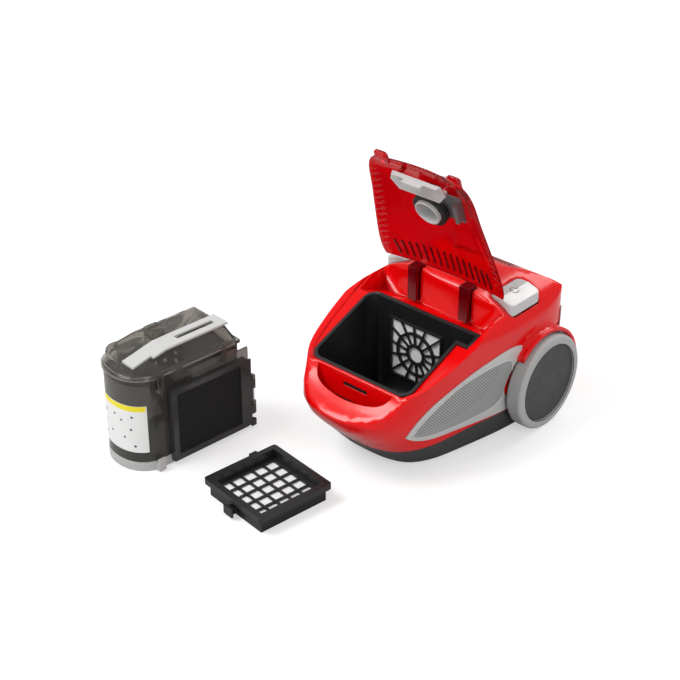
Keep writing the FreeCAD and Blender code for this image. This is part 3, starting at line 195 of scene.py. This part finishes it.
def diamond_grille():
    """Red plastic with a small relief of crossing stripes, over the hood's exhaust, painted dark
    red in the relief's hollows as painted shade.
    """
    material = plastic("red_grille", RED_COLOR, 0.22, vary=0.03, bump=0.02, edge=0.0)
    tree = material.node_tree
    shader = tree.nodes["Principled BSDF"]
    coords = tree.nodes.new("ShaderNodeTexCoord")
    crossed = None
    for angle in GRILLE_ANGLES_DEG:
        turn = tree.nodes.new("ShaderNodeMapping")
        turn.inputs["Rotation"].default_value = (0, 0, math.radians(angle))
        tree.links.new(coords.outputs["Object"], turn.inputs["Vector"])
        wave = tree.nodes.new("ShaderNodeTexWave")
        wave.inputs["Scale"].default_value = GRILLE_SCALE
        tree.links.new(turn.outputs["Vector"], wave.inputs["Vector"])
        if crossed is None:
            crossed = wave.outputs["Fac"]
        else:
            product = tree.nodes.new("ShaderNodeMath")
            product.operation = "MULTIPLY"
            tree.links.new(crossed, product.inputs[0])
            tree.links.new(wave.outputs["Fac"], product.inputs[1])
            crossed = product.outputs[0]
    plain = shader.inputs["Base Color"].links[0].from_socket
    # painted shade: dark red where the crossing relief dips
    tree.links.new(mix(tree, crossed, (0.2, 0.0, 0.0), plain), shader.inputs["Base Color"])
    relief = tree.nodes.new("ShaderNodeBump")
    relief.inputs["Strength"].default_value = 0.8
    relief.inputs["Distance"].default_value = 0.0009
    tree.links.new(crossed, relief.inputs["Height"])
    tree.links.new(relief.outputs["Normal"], shader.inputs["Normal"])
    return material


WHITE_MEDIA = fibrous("white_media", (0.83, 0.83, 0.82))
BLACK_MEDIA = fibrous("filter_black", (0.004, 0.004, 0.004))

SLOT_LOOK = {
    "red_gloss": RED, "ruby_clear": RUBY, "ruby_dark": RUBY_DARK, "base_grey": BASE,
    "bay_black": BAY, "silver_plastic": SILVER, "tyre_grey": TYRE, "hub_grey": HUB,
    "steel": STEEL, "copper_dark": COPPER, "aluminium": ALUMINIUM, "soft_rubber": RUBBER,
    "black_plastic": BLACK, "dark_metallic": DARK, "board_green": BOARD,
    "white_media": WHITE_MEDIA, "smoke_clear": SMOKE, "smoke_dark": SMOKE_DARK,
    "label_white": LABEL, "pale_grey": PALE, "filter_black": BLACK_MEDIA,
}
NODE_SLOT = {s["node"]: s["material_slot"] for s in frame["record"]["subparts"]}
NODE_BODY = {n: b for b, ns in frame["record"]["behaviour"]["bodies"].items() for n in ns}


# ---------------------------------------------------------------- meshes
def add(name, mesh, material, body, smooth_deg=40.0):
    """Links a mesh as a piece that rides on a body."""
    piece = bpy.data.objects.new(name, mesh)
    bpy.context.scene.collection.objects.link(piece)
    if material is not None:
        mesh.materials.clear()
        mesh.materials.append(material)
    mesh.shade_smooth()
    mesh.set_sharp_from_angle(angle=math.radians(smooth_deg))
    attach(piece, body)
    return piece


def from_bmesh(name, bm, material, body, smooth_deg=40.0):
    """Turns a bmesh into a piece that rides on a body."""
    mesh = bpy.data.meshes.new(name)
    bm.normal_update()
    bm.to_mesh(mesh)
    bm.free()
    return add(name, mesh, material, body, smooth_deg)


EDGE_LIMIT_DEG = 32.0        # edges sharper than this are rounded, or kept sharp
FLAT_LIMIT_DEG = 0.6         # faces that meet flatter than this become one
MERGE_DISTANCE = 2e-6


def polish(node, width):
    """Replaces a CAD node by a copy with merged vertices, its edges rounded by a width in
    millimetres, or with evened shading alone where the width is 0."""
    source = NODES[node].data
    bm = bmesh.new()
    bm.from_mesh(source)
    bmesh.ops.remove_doubles(bm, verts=bm.verts, dist=MERGE_DISTANCE)
    if width:
        bmesh.ops.dissolve_limit(bm, angle_limit=math.radians(FLAT_LIMIT_DEG),
                                 verts=bm.verts, edges=bm.edges)
    slot = NODE_SLOT[node]
    piece = from_bmesh(node + "_look", bm, SLOT_LOOK[slot], NODE_BODY[node],
                       EDGE_LIMIT_DEG)
    if width:
        bevel = piece.modifiers.new("edges", "BEVEL")
        bevel.width = width * MM
        bevel.segments = 2
        bevel.limit_method = "ANGLE"
        bevel.angle_limit = math.radians(EDGE_LIMIT_DEG)
        bevel.harden_normals = True
    else:
        even = piece.modifiers.new("normals", "WEIGHTED_NORMAL")
        even.keep_sharp = True
    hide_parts(node)
    return piece


def tree_of(node):
    """A ray-casting tree over a CAD node at rest."""
    mesh = NODES[node].data
    return BVHTree.FromPolygons([v.co.copy() for v in mesh.vertices],
                                [list(p.vertices) for p in mesh.polygons])


def smooth_curve(points, count):
    """Points along a Catmull-Rom curve through the given ones."""
    ring = [Vector(p) for p in points]
    ring = [2 * ring[0] - ring[1]] + ring + [2 * ring[-1] - ring[-2]]
    lengths = [0.0]
    for a, b in zip(ring[1:-2], ring[2:-1]):
        lengths.append(lengths[-1] + (b - a).length)
    result = []
    for k in range(count):
        want = lengths[-1] * k / (count - 1)
        i = max(j for j in range(len(lengths) - 1) if lengths[j] <= want + 1e-12)
        t = (want - lengths[i]) / (lengths[i + 1] - lengths[i])
        p0, p1, p2, p3 = ring[i:i + 4]
        result.append(0.5 * (2 * p1 + (p2 - p0) * t + (2 * p0 - 5 * p1 + 4 * p2 - p3) * t * t
                             + (3 * p1 - p0 - 3 * p2 + p3) * t ** 3))
    return result


def grid(rows):
    """A quad mesh from rows of points."""
    bm = bmesh.new()
    made = [[bm.verts.new(p) for p in row] for row in rows]
    for a, b in zip(made, made[1:]):
        for i in range(len(a) - 1):
            bm.faces.new((a[i], a[i + 1], b[i + 1], b[i]))
    return bm


# ---------------------------------------------------------------- side panels
# Outlines of the vent in the silver leaf, as points (y, z) in the cleaner's own frame
INNER_TOP = [(-104, 77), (-98, 91), (-80, 108), (-55, 123.5), (-31, 132), (10, 136.5),
             (51, 134.6), (69.7, 127), (75.8, 106.3)]
INNER_LOW = [(-104, 75), (-84, 68), (-50, 62.5), (0, 58.5), (49, 61.5), (68, 80), (75.8, 106.3)]
# The dots lie above this line
MESH_EDGE = [(-104, 75), (-30, 74.5), (25, 88.8), (42, 106), (51, 134.6)]
DOT_PITCH, DOT_R, DOT_EDGE, DOT_RELIEF = 4.4, 1.25, 0.35, 0.096
VENT_LIFT, BEAD_R, BEAD_SIDES = 0.3, 1.1, 8
VENT_COLUMNS, VENT_LEVELS, EDGE_SAMPLES, PLAIN_RIM, SCOOP_SHADE_FADE = 340, 120, 160, 2.5, 1.5
OUTSIDE_X, PANEL_X = 170, 112         # beyond the panels, and about where they lie
BEAD_STEP = 4                         # the bead follows every fourth point of the vent


def dot_share(y, z):
    """1 inside a hole of the vent's offset grid, 0 between the holes, in between at a rim."""
    best = 2 * DOT_PITCH
    for shift in (0.0, 0.5):
        u = y / DOT_PITCH + shift
        v = z / DOT_PITCH + shift
        best = min(best, math.hypot(u - round(u), v - round(v)) * DOT_PITCH)
    return max(0.0, min(1.0, (DOT_R + DOT_EDGE - best) / (2 * DOT_EDGE)))


def vent_material():
    """The vent's plastic with painted shade: near black inside the round holes, and darker grey
    over the plain strip below them, where the concave scoop lies in shade.
    """
    material = plastic("vent_surface", (0.52, 0.52, 0.515), 0.4, vary=0.02, edge=0.0)
    tree = material.node_tree
    shader = tree.nodes["Principled BSDF"]
    attribute = tree.nodes.new("ShaderNodeAttribute")
    attribute.attribute_name = "hole"
    scoop_shade = tree.nodes.new("ShaderNodeAttribute")
    scoop_shade.attribute_name = "scoop_shade"
    plain = shader.inputs["Base Color"].links[0].from_socket
    # painted shade: darker grey where the scoop lies in shade, near black inside the holes
    shaded = mix(tree, scoop_shade.outputs["Fac"], plain, (0.3, 0.3, 0.298))
    holes = mix(tree, attribute.outputs["Fac"], shaded, (0.05, 0.05, 0.05))
    tree.links.new(holes, shader.inputs["Base Color"])
    return material


VENT = vent_material()


def side_vent(side, name):
    """The vent on a silver leaf: a fine grid of shallow dips, painted dark as painted shade
    inside holes, a plain strip painted darker as painted shade of the concave scoop, and a bead.
    """
    skin = tree_of("side_panel_" + name)
    top = smooth_curve([(y, z, 0) for y, z in INNER_TOP], VENT_COLUMNS)
    low = smooth_curve([(y, z, 0) for y, z in INNER_LOW], VENT_COLUMNS)
    edge = smooth_curve([(y, z, 0) for y, z in MESH_EDGE], EDGE_SAMPLES)
    mesh_end = MESH_EDGE[-1][0]
    rows, holes, scoop_shades = [], [], []
    for j in range(VENT_LEVELS + 1):
        t = j / VENT_LEVELS
        row = []
        for a, b in zip(low, top):
            y, z = a.x + (b.x - a.x) * t, a.y + (b.y - a.y) * t
            origin = at(side * OUTSIDE_X, y, z)
            hit = skin.ray_cast(origin, Vector((-side, 0, 0)))[0]
            if hit is None:
                hit = skin.find_nearest(at(side * PANEL_X, y, z))[0]
            rim = min(t, 1 - t) * (b - a).length
            border = min(edge, key=lambda p: abs(p.x - y)).y
            # painted shade of the concave scoop: full below the dots' edge line and past its end,
            # fading across that line
            scoop_shade = max(0.0, min(1.0, (border - z) / SCOOP_SHADE_FADE + 1)) if y < mesh_end else 1.0
            # the holes are shallow dips whose dark insides are painted shade
            hole = dot_share(y, z) * (1 - scoop_shade) if rim > PLAIN_RIM else 0.0
            lift = VENT_LIFT - DOT_RELIEF * hole
            row.append(Vector((hit.x + side * lift * MM, hit.y, hit.z)))
            holes.append(hole)
            scoop_shades.append(scoop_shade)
        rows.append(row)
    bm = grid(rows)
    if side > 0:
        bmesh.ops.reverse_faces(bm, faces=bm.faces)
    piece = from_bmesh("vent_" + name, bm, VENT, "cleaner", 60.0)
    for key, values in (("hole", holes), ("scoop_shade", scoop_shades)):
        attribute = piece.data.attributes.new(key, "FLOAT", "POINT")
        attribute.data.foreach_set("value", values)
    outline = rows[0][::BEAD_STEP] + rows[-1][-1 - BEAD_STEP:0:-BEAD_STEP]
    bead("vent_bead_" + name, outline, Vector((side, 0, 0)), BEAD_R)


def bead(name, points, outward, radius):
    """A closed round bead along a loop of points on the panel."""
    bm = bmesh.new()
    rings = []
    for i, point in enumerate(points):
        along = (points[(i + 1) % len(points)] - points[i - 1]).normalized()
        across = along.cross(outward).normalized()
        rings.append([bm.verts.new(point + radius * MM * (math.cos(a) * outward
                                                          + math.sin(a) * across))
                      for a in [math.tau * k / BEAD_SIDES for k in range(BEAD_SIDES)]])
    for i, ring in enumerate(rings):
        before = rings[i - 1]
        for k in range(BEAD_SIDES):
            bm.faces.new((before[k], before[k - 1], ring[k - 1], ring[k]))
    bmesh.ops.recalc_face_normals(bm, faces=bm.faces)
    from_bmesh(name, bm, SILVER, "cleaner", 60.0)


# ---------------------------------------------------------------- build
# Width of the rounded edges of each node that gets a polished copy, in millimetres
WIDTHS = {
    "upper_shell": 0.0, "base_pan": 0.0, "bay_liner": 0.0, "side_panel_right": 0.5,
    "side_panel_left": 0.5, "wheel_tyre_right": 0.0, "wheel_tyre_left": 0.0,
    "wheel_hub_right": 0.8, "wheel_hub_left": 0.8, "lid_shell": 0.0, "lid_arms": 0.8,
    "inlet_tube": 0.8, "inlet_seal": 0.8, "inlet_clamp": 0.8, "latch_handle": 0.9,
    "power_pedal": 3.5, "rewind_pedal": 3.5, "exhaust_grille": 0.3, "rear_trims": 0.5,
    "motor_filter_grille": 0.5, "container_body": 0.4, "container_flap": 0.5,
    "filter_door_frame": 0.6, "container_lid": 0.5, "container_handle": 0.8,
    "container_clips": 0.6, "container_label": 0.0, "cassette_tab": 0.5, "caster_fork": 0.4,
    "cord_gland": 0.8, "hinge_bracket": 0.4,
}
SIDES = ((1, "right"), (-1, "left"))
looks = {}
for node in NODES:
    if node in WIDTHS:
        looks[node] = polish(node, WIDTHS[node])
    else:
        mesh = NODES[node].data
        mesh.materials.clear()
        mesh.materials.append(SLOT_LOOK[NODE_SLOT[node]])
looks["exhaust_grille"].data.materials[0] = diamond_grille()
looks["container_lid"].data.materials[0] = SMOKE_LID
for side, name in SIDES:
    side_vent(side, name)


# ---------------------------------------------------------------- small marks
def outline_ring(radius, inner, start_deg, end_deg, count):
    """Quads of a flat ring, as pairs of plane points."""
    pairs = []
    for k in range(count + 1):
        a = math.radians(start_deg + (end_deg - start_deg) * k / count)
        pairs.append(((inner * math.cos(a), inner * math.sin(a)),
                      (radius * math.cos(a), radius * math.sin(a))))
    return pairs


def strip_rows(pairs, place):
    """Rows of surface points for a strip, from its pairs of plane points."""
    return [[place(u0 + (u1 - u0) * t, v0 + (v1 - v0) * t) for t in (0, 0.5, 1)]
            for (u0, v0), (u1, v1) in pairs]


def marks(name, strips, place, material, body, normal):
    """Thin printed marks that lie on a surface."""
    bm = bmesh.new()
    for pairs in strips:
        rows = strip_rows(pairs, place)
        made = [[bm.verts.new(p) for p in row] for row in rows]
        for a, b in zip(made, made[1:]):
            for i in range(2):
                bm.faces.new((a[i], a[i + 1], b[i + 1], b[i]))
    bm.normal_update()
    for face in bm.faces:
        if face.normal.dot(normal) < 0:
            face.normal_flip()
    return from_bmesh(name, bm, material, body, 60.0)


PEDAL_TREE = tree_of("power_pedal")
PEDAL_X, PEDAL_Y = 90, 107
LABEL_TREE = tree_of("container_label")
PEDAL_PRINT_LIFT, LABEL_PRINT_LIFT = 0.00012, 0.00015    # in metres, off the surface
ABOVE_Z, INSIDE_X, DISC_STEPS = 260, -80, 14


def on_pedal(u, v):
    """The power pedal's top at a distance from its icon's middle, in millimetres."""
    top = PEDAL_TREE.ray_cast(at(PEDAL_X + u, PEDAL_Y + v, ABOVE_Z), Vector((0, 0, -1)))[0]
    return top + Vector((0, 0, PEDAL_PRINT_LIFT))


def on_label(u, v):
    """The label's surface at a distance across it and a height, in millimetres."""
    start = local(CONTAINER_AT, CONTAINER_YAW, INSIDE_X, u, v)
    inwards = (local(CONTAINER_AT, CONTAINER_YAW, 0, u, v) - start).normalized()
    return LABEL_TREE.ray_cast(start, inwards)[0] - inwards * LABEL_PRINT_LIFT


def disc(u, v, radius):
    """Pairs of plane points that fill a small disc."""
    return [((u + 0.01, v), (u + radius * math.cos(a), v + radius * math.sin(a)))
            for a in [math.tau * k / DISC_STEPS for k in range(DISC_STEPS + 1)]]


def bar(u0, u1, v0, v1, count=1):
    """Pairs of plane points that fill a rectangle."""
    return [((u0 + (u1 - u0) * k / count, v0), (u0 + (u1 - u0) * k / count, v1))
            for k in range(count + 1)]


marks("power_icon", [outline_ring(6.4, 5.2, 125, 415, 36), bar(-0.7, 0.7, 2.5, 8.2)], on_pedal,
      INK, "power_pedal", Vector((0, 0, 1)))
OUTWARD = (local(CONTAINER_AT, CONTAINER_YAW, -1, 0, 0)
           - local(CONTAINER_AT, CONTAINER_YAW, 0, 0, 0)).normalized()
marks("label_stripe", [bar(14.6, 91.4, 95.5, 103.7, 40)], on_label, YELLOW, "dust_container",
      OUTWARD)
SPOTS = [(28, 86), (30, 66), (44, 78), (56, 84), (40, 52), (64, 54), (78, 80), (80, 44), (26, 40)]
marks("label_marks", [disc(u, v, 1.7) for u, v in SPOTS], on_label, INK, "dust_container",
      OUTWARD)


# ---------------------------------------------------------------- added pieces
RIB_COUNT, RIB_FIRST_X, RIB_PITCH = 15, -84, 11.4
RIB_LEAN, RIB_START, RIB_RUN, RIB_HALF, RIB_HIGH = 9, 8, 22, 0.7, 2.6
UNDER_CHORD = -12
GROOVE_STEPS, GROOVE_LIFT, GROOVE_IN, GROOVE_OUT = 96, 0.12, 0.4, 1.1
POCKET_LEVELS, POCKET_FRONT_Y, POCKET_LIFT = (60, 70, 80, 90, 99), -128, 0.0004
POCKET_COLUMNS = range(-56, 57, 4)
SLOT_Y, SLOT_HALF, SLOT_LEVELS = -117.2, 20.8, (119.2, 124.8)


def lid_at(x, s, h):
    """A point of the raised lid: across, from its rear edge, and above its chord."""
    tilt = math.radians(LID_CHORD_DEG - 180)
    y = -s * math.cos(tilt) - h * math.sin(tilt) + LID_REAR_Y - PIVOT_Y
    z = -s * math.sin(tilt) + h * math.cos(tilt) + LID_REAR_Z - PIVOT_Z
    swing = -math.radians(LID_OPEN_DEG)
    return at(-x, PIVOT_Y + y * math.cos(swing) - z * math.sin(swing),
              PIVOT_Z + y * math.sin(swing) + z * math.cos(swing))


def lid_ribs():
    """Slanting ribs inside the lid, along its rear edge."""
    shell = tree_of("lid_shell")
    outward = (lid_at(0, 0, 1) - lid_at(0, 0, 0)).normalized()
    bm = bmesh.new()
    for k in range(RIB_COUNT):
        foot = []
        for t in (0.0, 0.25, 0.5, 0.75, 1.0):
            start = lid_at(RIB_FIRST_X + RIB_PITCH * k + RIB_LEAN * t,
                           RIB_START + RIB_RUN * t, UNDER_CHORD)
            foot.append(shell.ray_cast(start, outward)[0])
        along = (foot[-1] - foot[0]).normalized()
        across = along.cross(outward).normalized() * RIB_HALF * MM
        lip = outward * RIB_HIGH * MM
        rows = [[bm.verts.new(p + across), bm.verts.new(p - across),
                 bm.verts.new(p - across - lip), bm.verts.new(p + across - lip)] for p in foot]
        for a, b in zip(rows, rows[1:]):
            for i in range(4):
                bm.faces.new((a[i], a[i - 1], b[i - 1], b[i]))
        bm.faces.new(rows[0])
        bm.faces.new(rows[-1][::-1])
    bmesh.ops.recalc_face_normals(bm, faces=bm.faces)
    from_bmesh("lid_rear_ribs", bm, RUBY_DARK, "lid")


lid_ribs()


def hub_gap_shade(side, name):
    """Painted shade: a thin black ring on the wheel's face, for the dark gap between its ring and
    its disc.
    """
    rows = []
    for k in range(GROOVE_STEPS + 1):
        c, s = math.cos(math.tau * k / GROOVE_STEPS), math.sin(math.tau * k / GROOVE_STEPS)
        rows.append([at(side * (WHEEL_FACE_X + GROOVE_LIFT), WHEEL_Y + r * c, WHEEL_R + r * s)
                     for r in (HUB_R - GROOVE_IN, HUB_R + GROOVE_OUT)])
    # painted shade of the gap: a flat black ring just off the wheel's face
    from_bmesh("hub_gap_shade_" + name, grid(rows), BLACK, "wheel_" + name)


for side, name in SIDES:
    hub_gap_shade(side, name)


def paint_pocket_shade():
    """Painted shade: a black sheet just off the finger pocket's lower wall, and a black strip
    inside the slot above it.
    """
    shell = tree_of("upper_shell")
    rows = []
    for z in POCKET_LEVELS:
        rows.append([shell.ray_cast(at(x, POCKET_FRONT_Y, z), Vector((0, 1, 0)))[0]
                     - Vector((0, POCKET_LIFT, 0)) for x in POCKET_COLUMNS])
    # painted shade: the pocket's lower wall lies in shade behind the handle bar
    from_bmesh("pocket_painted_shade", grid(rows), BLACK, "cleaner")
    slot = [[at(x, SLOT_Y, z) for x in (-SLOT_HALF, SLOT_HALF)] for z in SLOT_LEVELS]
    # painted shade: a black strip where the slot's inside lies in shade
    from_bmesh("pocket_slot_painted_shade", grid(slot), BLACK, "cleaner")


paint_pocket_shade()


# ---------------------------------------------------------------- floor, light, camera
FLOOR_TONE, FLOOR_GLOW, WORLD_LIGHT = 0.55, 0.5, 0.48
LAMPS = (    # name, place, target, size in metres, watts
    ("key", (-1.0, -1.3, 2.2), (0, 0, 0.1), 1.2, 52.0),
    ("fill", (2.2, -0.6, 1.4), (0.05, 0.05, 0.1), 1.0, 18.0),
    ("back", (0.2, 2.0, 1.8), (0, 0, 0.15), 1.4, 26.0))
EYE, TARGET = (1192.6, -1472.4, 1263.8), (-133.1, 0, 92.1)
FOCAL_PX, PICTURE_PX, SENSOR_MM = 1600.0, 680.0, 36.0


def studio():
    """A pale floor that glows for the camera only, an even world and three lamps."""
    bpy.ops.mesh.primitive_plane_add(size=12.0, location=(0, 0, -0.0003))
    floor = bpy.context.object
    floor.name = "floor"
    pale = bpy.data.materials.new("floor_pale")
    pale.use_nodes = True
    shader = pale.node_tree.nodes["Principled BSDF"]
    shader.inputs["Base Color"].default_value = (FLOOR_TONE,) * 3 + (1,)
    shader.inputs["Roughness"].default_value = 0.8
    shader.inputs["Emission Color"].default_value = (1, 1, 1, 1)
    path = pale.node_tree.nodes.new("ShaderNodeLightPath")
    glow = pale.node_tree.nodes.new("ShaderNodeMath")
    glow.operation = "MULTIPLY"
    glow.inputs[1].default_value = FLOOR_GLOW
    pale.node_tree.links.new(path.outputs["Is Camera Ray"], glow.inputs[0])
    pale.node_tree.links.new(glow.outputs[0], shader.inputs["Emission Strength"])
    floor.data.materials.append(pale)
    world = bpy.data.worlds.new("studio")
    bpy.context.scene.world = world
    world.use_nodes = True
    background = world.node_tree.nodes["Background"]
    background.inputs["Color"].default_value = (1, 1, 1, 1)
    background.inputs["Strength"].default_value = WORLD_LIGHT
    for name, place, target, size, power in LAMPS:
        light = bpy.data.lights.new(name, "AREA")
        light.size = size
        light.energy = power
        lamp = bpy.data.objects.new(name, light)
        bpy.context.scene.collection.objects.link(lamp)
        lamp.location = place
        lamp.rotation_euler = (Vector(target) - Vector(place)).to_track_quat("-Z", "Y").to_euler()


def camera():
    """The photo's camera, fitted to the wheel's circles and the bay's rim."""
    eye, target = at(*EYE), at(*TARGET)
    lens = bpy.data.cameras.new("camera")
    lens.sensor_width = SENSOR_MM
    lens.lens = FOCAL_PX * SENSOR_MM / PICTURE_PX
    lens.clip_end = 50.0
    holder = bpy.data.objects.new("camera", lens)
    bpy.context.scene.collection.objects.link(holder)
    holder.location = eye
    holder.rotation_euler = (target - eye).to_track_quat("-Z", "Y").to_euler()
    bpy.context.scene.camera = holder


studio()
camera()
bpy.context.scene.view_settings.view_transform = "Standard"
